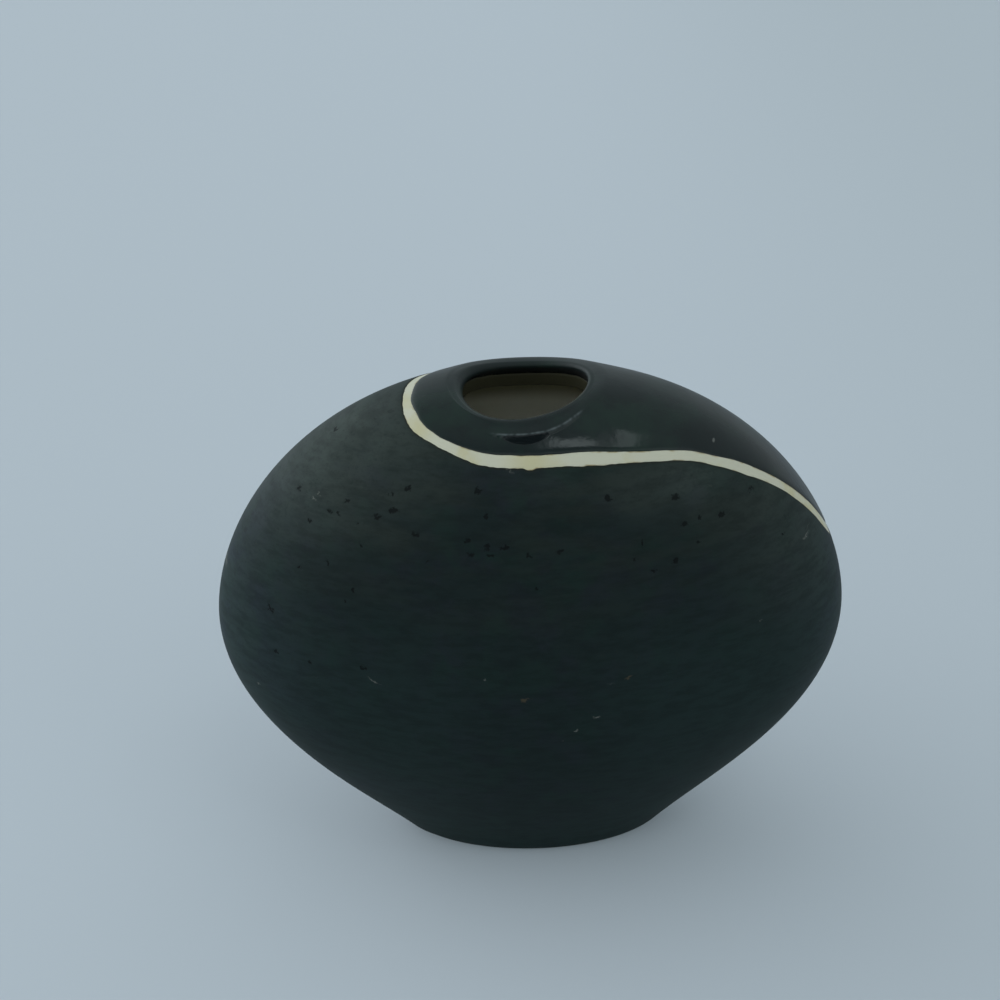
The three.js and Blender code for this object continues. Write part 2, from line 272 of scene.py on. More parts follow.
def crown_height(x, y):
    """Height of the dome over a plan point: one less a power of its share of the way out to the belly
    oval, raised to another power, times the rise. A low bell-shaped swell is added behind the mouth and a
    hollow is taken off at its left front."""
    reach = np.minimum(np.hypot(x / HALF_WIDTH, y / HALF_DEPTH), 1.0)
    dome = CROWN_RISE * (1.0 - reach ** CROWN_FLATNESS) ** (1.0 / CROWN_FULLNESS)
    radius = np.hypot(x, y)
    back = np.maximum(y, 0.0) / radius
    left = np.maximum(x * np.cos(LEFT_HOLLOW_SIDE) + y * np.sin(LEFT_HOLLOW_SIDE), 0.0) / radius
    beyond = np.maximum(radius - MOUTH_HALF_DEPTH - COLLAR_REACH, 0.0) / SWELL_REACH
    return BELLY_HEIGHT + dome + (BACK_SWELL * back ** 3 - LEFT_HOLLOW * left ** 4) * np.exp(-beyond ** 2)


def sag_share(angle):
    """Share of the sag in the lip: a cosine's fourth power, 1 at the left front and 0 a quarter turn on."""
    return np.maximum(np.cos(angle - LIP_SAG_SIDE), 0.0) ** 4


def rim_height(angle):
    """Height of the lip: a little under the dome at the sides, lower by a sine's square at the back and
    front, and lowest where it sags at the left front."""
    level = crown_height(MOUTH_HALF_WIDTH + COLLAR_REACH, 0.0) - RIM_SET
    return level - RIM_DIP * np.sin(angle) ** 2 - LIP_SAG * sag_share(angle)


def mouth_point(reach, angle, height):
    """Point at a given reach outside the mouth oval: the oval's two half sizes both grow by the reach."""
    x = (MOUTH_HALF_WIDTH + reach) * np.cos(angle)
    y = (MOUTH_HALF_DEPTH + reach) * np.sin(angle)
    return np.stack([x, y, height + 0.0 * angle], axis=-1)


def bore(station, angle):
    """Upright wall inside the mouth; the station is the height over the rim, so it is negative."""
    return mouth_point(LIP_BULGE * sag_share(angle), angle, rim_height(angle) + station)


def lip_radius(angle):
    """Radius of the lip, larger at the left end of the mouth by a cosine's square."""
    return LIP_RADIUS + LIP_SOFT * np.maximum(np.cos(angle - LIP_SOFT_SIDE), 0.0) ** 2


def lip(station, angle):
    """Quarter round from the inset glaze bead to the top of the lip; the station is the turn."""
    radius = lip_radius(angle)
    height = rim_height(angle) - radius * (1.0 - np.sin(station))
    reach = radius * (1.0 - np.cos(station)) - LIP_INSET + LIP_BULGE * sag_share(angle)
    return mouth_point(reach, angle, height)


def throat(station, angle):
    """Outside of the collar: a cubic curve from the level top of the lip at 0 to a landing at 1 that
    follows the dome's slope."""
    step = 1e-7
    landing_spot = mouth_point(COLLAR_REACH, angle, 0.0)
    landing = crown_height(landing_spot[..., 0], landing_spot[..., 1])
    next_spot = mouth_point(COLLAR_REACH + step, angle, 0.0)
    slope = (crown_height(next_spot[..., 0], next_spot[..., 1]) - landing) / step
    a, b, c, d = curve_shares(station)
    lip_reach = lip_radius(angle) - LIP_INSET + LIP_BULGE * sag_share(angle)
    reach = (a + b) * lip_reach + (c + d) * COLLAR_REACH + (b - c) * THROAT_ROUND
    height = (a + b) * rim_height(angle) + c * (landing - slope * THROAT_ROUND) + d * landing
    return mouth_point(reach, angle, height)


collar_neck_rows = COLLAR_LOW + np.linspace(0.0, 1.0, 6)[:, None] * (-lip_radius(ROUND) - COLLAR_LOW)
collar_rows = np.concatenate([
    sunk(bore, collar_neck_rows, COLLAR_DEPTH),
    sunk(lip, np.linspace(0.0, np.pi / 2.0, 6), COLLAR_DEPTH),
    sunk(throat, np.linspace(0.0, COLLAR_END, 12)[1:], COLLAR_DEPTH),
    sunk(throat, np.array([COLLAR_END]), COLLAR_END_DEPTH),
])
collar = skin("collar_clay", collar_rows[::-1], True)
collar.data.materials.append(bare_clay)
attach(collar, "root")
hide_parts("mouth_collar")

# Liner: a thin clear glaze, poured in, swilled round and tipped out again, and fired with the clay. It coats
# the neck, the inside of the wall and the floor, and shows the pale clay behind it.
LINER_DEPTH = 0.0063
CAVITY_DEPTH = 0.0070
LINER_FLOOR = 0.0093
CAVITY_FLOOR = 0.0100
FLOOR_CORNER = 0.0015
NECK_ROWS = np.array([-0.0044, -0.0060, -0.0080, -0.0094, -0.0099, -0.0100])
NECK_LINER_DEPTH = 0.0007
NECK_CAVITY_DEPTH = 0.0002
LINER_COLOUR = (0.92, 0.90, 0.80, 1.0)
LINER_DARK = (0.88, 0.86, 0.74, 1.0)
LINER_PAINTED_SHADE = (0.33, 0.305, 0.20, 1.0)
LINER_NECK_SHADE = (0.030, 0.028, 0.015, 1.0)
LINER_SHADE_HEIGHTS = (0.177, 0.1875)
LINER_NECK_HEIGHTS = (0.180, 0.186)
LINER_NECK_RADII = (0.0285, 0.0255)


def crown(station, angle):
    """Dome from the foot of the collar at 0 to the belly at 1. Loops pass from nearly round to oval, and
    the sine of the station spaces them evenly over the steep end."""
    share = np.sin(np.minimum(station, 1.0) * np.pi / 2.0)
    inner_width = MOUTH_HALF_WIDTH + COLLAR_REACH
    inner_depth = MOUTH_HALF_DEPTH + COLLAR_REACH
    x = (inner_width + share * (HALF_WIDTH - inner_width)) * np.cos(angle)
    y = (inner_depth + share * (HALF_DEPTH - inner_depth)) * np.sin(angle)
    return np.stack([x, y, crown_height(x, y)], axis=-1)


def lined_inside(neck_depth, wall_depth, floor_height):
    """Inside face from the neck to the floor: the outside wall sunk by the wall's depth, with a smooth
    larger-of-two between its height and the floor's for the rounded corner at the bottom."""
    neck = sunk(bore, NECK_ROWS, neck_depth)
    dome = sunk(crown, np.linspace(0.0, 1.0, 26), wall_depth)
    wall = sunk(flank, np.linspace(0.0, 2.0, 36)[1:], wall_depth)
    floor = wall[-1] * np.array([0.8, 0.6, 0.4, 0.2])[:, None, None]
    floor[..., 2] = wall[-1, :, 2]
    rows = np.concatenate([neck, dome, wall, floor])
    over = rows[..., 2] - floor_height
    rows[..., 2] = floor_height + 0.5 * (over + np.sqrt(over ** 2 + 4.0 * FLOOR_CORNER ** 2))
    return rows


def reckon(finish, operation, first, second):
    """Result of one Math node's operation on two numbers."""
    return add(finish, "ShaderNodeMath", {0: first, 1: second}, operation=operation).outputs["Value"]


def times(finish, first, second):
    """Product of two numbers."""
    return reckon(finish, "MULTIPLY", first, second)


liner_back = lined_inside(NECK_LINER_DEPTH, LINER_DEPTH, LINER_FLOOR)
liner_face = lined_inside(NECK_CAVITY_DEPTH, CAVITY_DEPTH, CAVITY_FLOOR)
liner = skin("liner_coat", np.concatenate([liner_back[::-1], liner_face]), False)

clear_liner, liner_shader = new_finish("clear liner over buff clay", 0.6, 0.12)
liner_place = object_place(clear_liner)
liner_cloud = grain(clear_liner, liner_place, 55.0, 4.0, 0.6)
liner_tint = mixed(clear_liner, share_of(clear_liner, liner_cloud, 0.3, 0.7), LINER_DARK, LINER_COLOUR)
# Painted shade: the liner darkens high in the cavity, just under the neck, where shade falls.
liner_split = parts_of(clear_liner, liner_place)
liner_painted_shade = share_of(clear_liner, liner_split["Z"], *LINER_SHADE_HEIGHTS)
liner_tint = mixed(clear_liner, liner_painted_shade, liner_tint, LINER_PAINTED_SHADE)
liner_plan = add(
    clear_liner, "ShaderNodeVectorMath", {0: liner_place, 1: (1.0, 1.0, 0.0)}, operation="MULTIPLY")
liner_radius = add(
    clear_liner, "ShaderNodeVectorMath", {0: liner_plan.outputs["Vector"]}, operation="LENGTH")
# Painted shade: the liner inside the neck, high up and near the middle, is painted nearly black.
liner_high = share_of(clear_liner, liner_split["Z"], *LINER_NECK_HEIGHTS)
liner_near = share_of(clear_liner, liner_radius.outputs["Value"], *LINER_NECK_RADII)
liner_neck_shade = times(clear_liner, liner_high, liner_near)
liner_tint = mixed(clear_liner, liner_neck_shade, liner_tint, LINER_NECK_SHADE)
join(clear_liner, liner_tint, liner_shader, "Base Color")
liner_wave = grain(clear_liner, liner_place, 300.0, 3.0, 0.5)
bumped(clear_liner, liner_shader, liner_wave, 0.3, 0.0004)
liner.data.materials.append(clear_liner)
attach(liner, "root")
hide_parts("liner_glaze")

# Matt coat: a dry green-black glaze, brushed over the body from the cream line down to the foot and fired
# on. It is pitted where gas broke through in the kiln, and rubbed and scratched by use.
COAT = 0.0007
COAT_EDGE_DROP = 0.6
MATT_EDGE = 0.0010
MATT_END = 1.72
MATT_BUNCHING = 1.2
FAR_OFF = 0.1
# Degrees round the vase from its right, and the line's share of the way from the collar out to the belly.
LINE_COURSE = np.array([
    [0, 0.925], [19, 0.7], [36, 0.46], [60, 0.3], [90, 0.185], [120, 0.13],
    [150, 0.118], [180, 0.135], [201, 0.173], [219, 0.203], [250, 0.225],
    [270, 0.219], [286, 0.238], [313, 0.38], [325, 0.472], [341, 0.7],
])
# Degrees, and how far the hand set the line's upper and lower edge from its middle, in millimetres.
LINE_EDGES = np.array([
    [0, -1.6, 2.0], [30, -1.8, 1.9], [75, -1.9, 1.9], [120, -1.7, 1.8], [165, -1.15, 1.9],
    [180, -1.25, 1.7], [195, -1.35, 1.3], [205, -2.1, 1.7], [217, -1.7, 2.05], [228, -1.6, 1.4],
    [240, -1.85, 1.4], [250, -1.85, 2.1], [260, -2.05, 2.1], [285, -1.8, 2.3], [293, -2.45, 2.2],
    [305, -2.05, 1.7], [315, -1.5, 2.0], [330, -1.05, 2.2], [337, -1.75, 1.85], [345, -1.1, 2.15],
]) * [1.0, 0.001, 0.001]
LINE_SPREAD = 0.00012
LINE_TOP_TREMOR = 0.00007
LINE_LOW_TREMOR = 0.00013
LINE_DRIP = 0.0006
LINE_DRIP_SIDE = 270.3
LINE_DRIP_TURN = 1.9
TREMOR_WAVES = 7
TREMOR_FEWEST = 18
TREMOR_MOST = 140
MATT_COLOUR = (0.0077, 0.0150, 0.0151, 1.0)
MATT_GREEN = (0.0075, 0.0184, 0.0160, 1.0)
MATT_BLUE = (0.0096, 0.0146, 0.0182, 1.0)
MATT_OLIVE = (0.0135, 0.0200, 0.0175, 1.0)
MATT_LOW_PAINTED_LIGHT = (0.0130, 0.0260, 0.0250, 1.0)
MATT_STROKE = (0.0016, 0.0040, 0.0040, 1.0)
MATT_DUST_AND_SHEEN = (0.0650, 0.0810, 0.0730, 1.0)
MATT_STAIN = (0.0200, 0.0185, 0.0120, 1.0)
MATT_SIDE_LIGHT_GREEN = (0.060, 0.088, 0.088, 1.0)
MATT_SIDE_LIGHT_BLUE = (0.060, 0.077, 0.099, 1.0)
PIT_COLOUR = (0.0008, 0.0018, 0.0022, 1.0)
SCUFF_COLOUR = (0.110, 0.115, 0.105, 1.0)
CHIP_COLOUR = (0.068, 0.054, 0.033, 1.0)
MATT_WORN_HEIGHTS = (0.10, 0.19)
MATT_LOW_HEIGHTS = (0.165, 0.095)
MATT_LOW_LEAST = 0.24
MATT_BASE_HEIGHTS = (0.045, 0.010)
MATT_ASIDE = (0.005, 0.050)
MATT_RIGHT = (0.030, 0.090)
MATT_STAIN_REACH = (0.0014, 0.0002)
STRAY_CHANCE = 0.80
STRAY_DEPTHS = (-0.030, 0.015)
STRAY_HEIGHTS = (0.080, 0.130)
RAGGED = np.array([0.0050, 0.0050, 0.0034])
# Balls: a middle and three half sizes in millimetres, a fall in degrees and a strength.
DUST_AND_SHEEN_BALLS = np.array([
    [-84, -4, 196, 105, 75, 72, 0, 1.0], [112, -20, 175, 75, 75, 85, 0, 0.72],
    [62, -35, 180, 68, 34, 24, 0, 0.62], [8, -43, 185, 54, 30, 18, 0, 0.30],
])
SIDE_LIGHT_BALLS = np.array([
    [-128, 0, 125, 80, 95, 120, 0, 0.68], [128, 0, 112, 48, 70, 90, 0, 0.6],
    [-80, -40, 45, 60, 60, 30, 0, 0.25],
])
# Marks: a place across, a height, a half length and a half height in millimetres, a fall and a strength.
PITS = np.array([
    [-72, 190, 1.5, 1.2, 0, 0.85], [-19, 182, 1.5, 1.4, 0, 1], [-44, 181, 1.5, 1.2, 0, 0.85],
    [-50, 179, 0.9, 0.9, 0, 0.7], [28, 178, 1.9, 1.4, 0, 1], [53, 175, 2.3, 1.4, 0, 1],
    [-67, 174, 1.6, 1.1, 0, 1], [-50, 174, 2.4, 1.4, 0, 1], [-16, 174, 1.7, 0.8, 0, 0.85],
    [-86, 173, 1.5, 1.2, 0, 0.7], [-56, 171, 1.9, 1.2, 0, 1], [-74, 170, 1.2, 0.9, 0, 0.85],
    [-70, 170, 1.2, 1.2, 0, 0.85], [82, 170, 1.5, 1.4, 0, 0.7], [-63, 168, 1.5, 0.5, 0, 0.7],
    [-42, 167, 1.8, 1.2, 0, 0.85], [62, 167, 1.2, 1.4, 0, 0.85], [-23, 166, 1.9, 1, 0, 1],
    [56, 166, 1.8, 1.4, 0, 0.85], [70, 166, 1.7, 1.2, 0, 1], [-82, 165, 1.5, 0.8, 0, 0.7],
    [-16, 164, 1.7, 1.2, 0, 1], [-10, 164, 2.8, 0.9, 0, 1], [10, 162, 1.8, 1.4, 0, 0.85],
    [40, 162, 0.9, 1.7, 0, 0.85], [-62, 161, 1.2, 0.9, 0, 0.7], [-22, 161, 1.9, 1.2, 0, 0.85],
    [-15, 161, 1.7, 0.9, 0, 1], [-1, 161, 1.2, 0.9, 0, 0.7], [61, 159, 1.2, 0.9, 0, 0.85],
    [-38, 158, 0.9, 0.8, 0, 0.7], [37, 157, 0.9, 0.8, 0, 0.7], [52, 154, 1.5, 1.7, 0, 1],
    [-75, 153, 0.9, 1, 0, 0.7], [44, 152, 1.8, 0.8, 0, 0.85], [95, 152, 1.1, 0.8, 0, 0.7],
    [-86, 149, 1.2, 1, 0, 0.85], [2, 149, 1.2, 1, 0, 0.7], [-66, 145, 1.2, 1, 0, 0.7],
    [-69, 140, 0.8, 1.3, 0, 0.7], [-99, 130, 1.8, 2.1, 0, 1], [-64, 115, 1.9, 1, 0, 1],
    [-98, 113, 1.4, 1.2, 0, 0.7], [-84, 113, 1.1, 1.4, 0, 0.7],
])
FRONT_SCUFFS = np.array([
    [-60, 110, 4.2, 0.45, 30, 0.75], [-80, 172, 1.2, 0.8, 0, 0.9], [-78, 174, 0.8, 0.7, 0, 0.7],
    [-107, 93, 1.1, 0.8, 0, 0.8], [-18, 114, 0.7, 1, 0, 0.75], [15, 89, 0.9, 0.7, 0, 0.8],
    [86, 124, 0.8, 0.7, 0, 0.6], [10, 84, 0.8, 0.6, 0, 0.6], [105, 147, 2.8, 0.7, -24, 0.8],
    [106, 149, 2, 0.5, -24, 0.6], [66, 176, 2.2, 0.5, 30, 0.35], [-119, 134, 1.2, 3, 0, 0.8],
    [-7, 188, 2, 0.4, 35, 0.6], [23, 95, 2.2, 1, 5, 0.9], [-85, 106, 18, 0.5, -17, 0.22],
    [-104, 150, 1.4, 0.5, 40, 0.3], [28, 110, 3.2, 0.7, 5, 0.3], [-30, 124, 9, 0.4, 2, 0.16],
    [48, 100, 7, 0.4, -12, 0.16],
])
BACK_SCUFFS = np.array([
    [38, 128, 3.4, 0.5, 25, 0.6], [-52, 118, 1.4, 0.9, 0, 0.7], [70, 96, 8, 0.4, -14, 0.2],
    [-20, 92, 2, 0.6, -30, 0.6], [-84, 150, 1.2, 0.8, 10, 0.6], [120, 88, 4, 0.5, 0, 0.5],
])
CHIPS = np.array([
    [-4, 105, 2.2, 1.3, -35, 1], [35, 112, 2.6, 0.9, -25, 0.8], [-2, 98, 1.2, 0.7, 10, 0.35],
])
STEEP_UP_TO = 180.0
LEVEL_FROM = 190.0
STEEP_MARK_DEPTH = 8.0
LEVEL_MARK_DEPTH = 1.5
LONG_MARK_DEPTH = 1.7


def closed_course(table, angle):
    """Values on a closed smooth course through a table of degrees and values: cubic pieces whose slope at
    each given angle is that between its two neighbours."""
    degrees = np.degrees(angle) % 360.0
    turn = np.eye(1, table.shape[1])[0] * 360.0
    course = np.vstack([table[-2:] - turn, table, table[:2] + turn])
    slope = np.zeros_like(course)
    slope[1:-1] = (course[2:] - course[:-2]) / (course[2:, :1] - course[:-2, :1])
    start = np.searchsorted(course[:, 0], degrees, side="right") - 1
    span = course[start + 1, :1] - course[start, :1]
    t = (degrees[:, None] - course[start, :1]) / span
    rise = t * t * (3.0 - 2.0 * t)
    bend = t * (1.0 - t) * span * ((1.0 - t) * slope[start] - t * slope[start + 1])
    return (course[start] + rise * (course[start + 1] - course[start]) + bend)[:, 1:]


def line_station(angle):
    """Station on the dome of the line's middle: the arc sine of its share of the way out."""
    return np.arcsin(closed_course(LINE_COURSE, angle)[:, 0]) / (np.pi / 2.0)


def line_scale(angle):
    """Metres square to the line for one unit of station: the area of a surface patch over the length of
    the line's course across it."""
    step = 1e-4
    station = line_station(angle)
    along = (crown(station + step, angle) - crown(station - step, angle)) / (2.0 * step)
    around = (crown(station, angle + step) - crown(station, angle - step)) / (2.0 * step)
    drift = (line_station(angle + step) - line_station(angle - step)) / (2.0 * step)
    course = around + drift[..., None] * along
    return np.linalg.norm(np.cross(along, around), axis=-1) / np.linalg.norm(course, axis=-1)


def beside_line(distance):
    """Stations of a curve at a distance below the line's middle, measured over the surface."""
    return line_station(ROUND) + distance / line_scale(ROUND)


def hand_tremor(seed, size):
    """Small wander of a brush edge: a sum of sine waves round the vase, with counts and starts by chance,
    lower by the square root of their count."""
    chance = np.random.default_rng(seed)
    counts = chance.integers(TREMOR_FEWEST, TREMOR_MOST, TREMOR_WAVES)
    turns = chance.uniform(0.0, 2.0 * np.pi, TREMOR_WAVES)
    waves = np.sin(counts[:, None] * ROUND + turns[:, None]) / np.sqrt(counts / TREMOR_FEWEST)[:, None]
    return size * waves.sum(axis=0) / 2.0


def spots(finish, place, table):
    """Share of a point being in a spot: one less its share of the way out to the edge of a ball, times the
    ball's strength, and the largest of these for a table of balls."""
    nearest = 0.0
    for spot in table:
        ball_place = add(finish, "ShaderNodeMapping", {
            "Vector": place,
            "Location": spot[:3] / 1000.0,
            "Scale": spot[3:6] / 1000.0,
            "Rotation": (0.0, np.radians(spot[6]), 0.0),
        }, vector_type="TEXTURE").outputs["Vector"]
        ball = add(finish, "ShaderNodeTexGradient", {"Vector": ball_place}, gradient_type="SPHERICAL")
        nearest = reckon(finish, "MAXIMUM", nearest, times(finish, ball.outputs["Fac"], spot[7]))
    return nearest


def marks(side, table):
    """Balls for a table of marks on the wall, on the front for side -1 or the back for 1. A mark lies on the
    wall's oval at its height, by the dome's formula turned round or looked up on the flank, and its ball is
    deep where the wall is steep."""
    across, height, length, thickness, fall, strength = table.T
    risen = np.clip((height / 1000.0 - BELLY_HEIGHT) / CROWN_RISE, 0.0, 1.0)
    dome_reach = (1.0 - risen ** CROWN_FULLNESS) ** (1.0 / CROWN_FLATNESS)
    drop = flank(np.linspace(2.0, 0.0, 90), np.zeros(90))
    flank_reach = np.interp(height / 1000.0, drop[:, 2], drop[:, 0]) / HALF_WIDTH
    reach = np.where(height / 1000.0 > BELLY_HEIGHT, dome_reach, flank_reach)
    inward = np.sqrt(np.maximum(reach ** 2 - (across / 1000.0 / HALF_WIDTH) ** 2, 0.0))
    y = 1000.0 * side * HALF_DEPTH * inward
    depth = np.interp(height, [STEEP_UP_TO, LEVEL_FROM], [STEEP_MARK_DEPTH, LEVEL_MARK_DEPTH])
    depth = np.maximum(depth, LONG_MARK_DEPTH * length)
    return np.column_stack([across, y, height, length, depth, thickness, fall, strength])


def streaks(finish, place, fall, scale, detail, roughness):
    """Cloudy noise drawn out level: turned by a fall in radians, with a number of waves a metre for each
    axis."""
    drawn = add(finish, "ShaderNodeMapping", {"Vector": place, "Rotation": (0.0, fall, 0.0), "Scale": scale})
    return grain(finish, drawn.outputs["Vector"], 1.0, detail, roughness)


def note(piece, name, rows):
    """One number for each point of a piece's grid, kept on its mesh for the material."""
    values = piece.data.attributes.new(name, "FLOAT", "POINT")
    values.data.foreach_set("value", rows.reshape(-1))


def noted(finish, name):
    """The number kept on the mesh under a name."""
    return add(finish, "ShaderNodeAttribute", {}, attribute_name=name).outputs["Fac"]


line_top_edge, line_low_edge = closed_course(LINE_EDGES, ROUND).T
line_drip = LINE_DRIP * np.exp(-((np.degrees(ROUND) - LINE_DRIP_SIDE) / LINE_DRIP_TURN) ** 4)
line_top_edge = line_top_edge - LINE_SPREAD + hand_tremor(3, LINE_TOP_TREMOR)
line_low_edge = line_low_edge + hand_tremor(8, LINE_LOW_TREMOR) + LINE_SPREAD + line_drip

edge_turn = np.linspace(0.0, np.pi / 2.0, 6)[:, None]
edge_depth = COAT_EDGE_DROP * COAT * (1.0 - np.sin(edge_turn)) * np.ones(COLUMNS)
matt_edge_rows = beside_line(line_low_edge + MATT_EDGE * (1.0 - np.cos(edge_turn)))
matt_share = np.linspace(0.0, 1.0, 50)[1:, None] ** MATT_BUNCHING
matt_dome_rows = matt_edge_rows[-1] + matt_share * (1.0 - matt_edge_rows[-1])
matt_flank_rows = np.concatenate([np.linspace(0.0, 1.0, 44)[1:], np.linspace(1.0, MATT_END, 10)[1:]])
matt_outer = np.concatenate([
    sunk(crown, matt_edge_rows, edge_depth),
    sunk(crown, matt_dome_rows, 0.0),
    sunk(flank, matt_flank_rows, 0.0),
])
matt_inner = np.concatenate([
    sunk(crown, matt_edge_rows[:1], COAT),
    sunk(crown, matt_dome_rows[3::6], COAT),
    sunk(flank, matt_flank_rows[3::7], COAT),
    sunk(flank, matt_flank_rows[-1:], COAT),
])
matt_coat = skin("matt_coat", np.concatenate([matt_outer[::-1], matt_inner]), True)
matt_rows = np.concatenate([matt_edge_rows, matt_dome_rows])
matt_reach = np.full((matt_outer.shape[0] + matt_inner.shape[0], COLUMNS), FAR_OFF)
matt_reach[:matt_rows.shape[0]] = (matt_rows - line_station(ROUND)) * line_scale(ROUND) - line_low_edge
matt_reach[:matt_outer.shape[0]] = matt_reach[:matt_outer.shape[0]][::-1]
note(matt_coat, "below_line", matt_reach)

matt, matt_shader = new_finish("matt green-black glaze", 0.60, 0.09)
matt_place = object_place(matt)
matt_split = parts_of(matt, matt_place)
matt_cloud = grain(matt, matt_place, 38.0, 6.0, 0.6)
matt_speck = grain(matt, matt_place, 650.0, 3.0, 0.65)
matt_patch = streaks(matt, matt_place, 0.12, (20.0, 20.0, 85.0), 6.0, 0.65)
matt_mottle = grain(matt, matt_place, 62.0, 5.0, 0.62, "Color")
matt_mottle = add(matt, "ShaderNodeSeparateColor", {"Color": matt_mottle}).outputs

# Blue and green clouds, olive where the coat is thin, and painted light: paler low down, at the sides and to
# the right.
matt_tint = mixed(matt, share_of(matt, matt_mottle["Red"], 0.46, 0.64), MATT_COLOUR, MATT_BLUE)
matt_tint = mixed(matt, share_of(matt, matt_mottle["Green"], 0.48, 0.66), matt_tint, MATT_GREEN)
matt_high = share_of(matt, matt_split["Z"], *MATT_WORN_HEIGHTS)
matt_worn = times(matt, share_of(matt, matt_patch, 0.40, 0.66), matt_high)
matt_tint = mixed(matt, matt_worn, matt_tint, MATT_OLIVE)
# Painted light: the coat is paler low down, at the sides and towards the right, standing in for the table's
# light and its reflection.
matt_aside_light = reckon(matt, "ABSOLUTE", matt_split["X"], 0.0)
matt_aside_light = times(matt, share_of(matt, matt_aside_light, *MATT_ASIDE), 0.42)
matt_right_light = times(matt, share_of(matt, matt_split["X"], *MATT_RIGHT), 0.22)
matt_low_light = reckon(matt, "ADD", reckon(matt, "ADD", matt_aside_light, matt_right_light), MATT_LOW_LEAST)
matt_low_light = times(matt, matt_low_light, share_of(matt, matt_split["Z"], *MATT_LOW_HEIGHTS))
matt_base_light = times(matt, share_of(matt, matt_split["Z"], *MATT_BASE_HEIGHTS), 0.55)
matt_tint = mixed(matt, reckon(matt, "ADD", matt_low_light, matt_base_light), matt_tint, MATT_LOW_PAINTED_LIGHT)

# Dust and painted sheen on the shoulders, painted light on the narrow sides, flecks, and level brush
# strokes.
# Dust and painted sheen: a table of balls lightens the upper shoulders, where light falls.
matt_dust_and_sheen = share_of(matt, spots(matt, matt_place, DUST_AND_SHEEN_BALLS), 0.0, 1.0)
matt_dust_and_sheen = times(matt, matt_dust_and_sheen, share_of(matt, matt_cloud, -0.45, 1.15))
matt_tint = mixed(matt, matt_dust_and_sheen, matt_tint, MATT_DUST_AND_SHEEN)
# Painted light: another table of balls lightens the narrow sides and the low left front with a blue-green
# tone.
matt_hue = share_of(matt, matt_mottle["Blue"], 0.44, 0.58)
matt_side_light = mixed(matt, matt_hue, MATT_SIDE_LIGHT_GREEN, MATT_SIDE_LIGHT_BLUE)
matt_side_light_share = share_of(matt, spots(matt, matt_place, SIDE_LIGHT_BALLS), 0.0, 1.0)
matt_side_light_share = times(matt, matt_side_light_share, share_of(matt, matt_patch, -0.15, 0.95))
matt_tint = mixed(matt, matt_side_light_share, matt_tint, matt_side_light)
matt_fleck = times(matt, share_of(matt, matt_speck, 0.52, 0.72), 0.35)
matt_tint = mixed(matt, matt_fleck, matt_tint, MATT_OLIVE)
matt_stroke = streaks(matt, matt_place, 0.06, (95.0, 95.0, 340.0), 4.0, 0.68)
matt_stroke = times(matt, share_of(matt, matt_stroke, 0.38, 0.66), 0.29)
matt_tint = mixed(matt, matt_stroke, matt_tint, MATT_STROKE)
matt_stain = share_of(matt, noted(matt, "below_line"), *MATT_STAIN_REACH)
matt_tint = mixed(matt, times(matt, matt_stain, 0.5), matt_tint, MATT_STAIN)

# Pits with ragged edges, those seen on the front and strays behind, then pale scuffs and brown chips.
matt_jitter = grain(matt, matt_place, 520.0, 4.0, 0.6, "Color")
matt_ragged = add(
    matt, "ShaderNodeVectorMath", {0: matt_jitter, 1: RAGGED, 2: matt_place}, operation="MULTIPLY_ADD")
matt_ragged = add(matt, "ShaderNodeVectorMath", {
    0: matt_ragged.outputs["Vector"], 1: 0.5 * RAGGED}, operation="SUBTRACT").outputs["Vector"]
matt_pits = spots(matt, matt_ragged, marks(-1.0, PITS))
matt_pits = times(matt, matt_pits, share_of(matt, matt_speck, 0.26, 0.54))
matt_pits = share_of(matt, matt_pits, 0.06, 0.42)
matt_cells = add(matt, "ShaderNodeTexVoronoi", {"Vector": matt_ragged, "Scale": 120.0}).outputs
matt_chance = add(matt, "ShaderNodeSeparateColor", {"Color": matt_cells["Color"]}).outputs["Red"]
matt_stray_size = times(matt, reckon(matt, "SUBTRACT", matt_chance, STRAY_CHANCE), 1.5)
matt_strays = reckon(matt, "SUBTRACT", matt_cells["Distance"], matt_stray_size)
matt_strays = share_of(matt, matt_strays, 0.0, -0.10)
matt_behind = share_of(matt, matt_split["Y"], *STRAY_DEPTHS)
matt_behind = times(matt, matt_behind, share_of(matt, matt_split["Z"], *STRAY_HEIGHTS))
matt_strays = times(matt, times(matt, matt_strays, matt_behind), 0.9)
matt_pits = reckon(matt, "MAXIMUM", matt_pits, matt_strays)
matt_tint = mixed(matt, times(matt, matt_pits, 0.78), matt_tint, PIT_COLOUR)
matt_rubs = np.concatenate([marks(-1.0, FRONT_SCUFFS), marks(1.0, BACK_SCUFFS)])
matt_scuffs = share_of(matt, spots(matt, matt_ragged, matt_rubs), 0.1, 0.8)
matt_tint = mixed(matt, matt_scuffs, matt_tint, SCUFF_COLOUR)
matt_chips = share_of(matt, spots(matt, matt_ragged, marks(-1.0, CHIPS)), 0.1, 0.8)
matt_tint = mixed(matt, times(matt, matt_chips, 0.7), matt_tint, CHIP_COLOUR)
join(matt, matt_tint, matt_shader, "Base Color")
matt_height = reckon(matt, "SUBTRACT", times(matt, matt_speck, 0.25), matt_pits)
bumped(matt, matt_shader, matt_height, 0.5, 0.0003)
matt_coat.data.materials.append(matt)
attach(matt_coat, "root")
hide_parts("body_glaze")

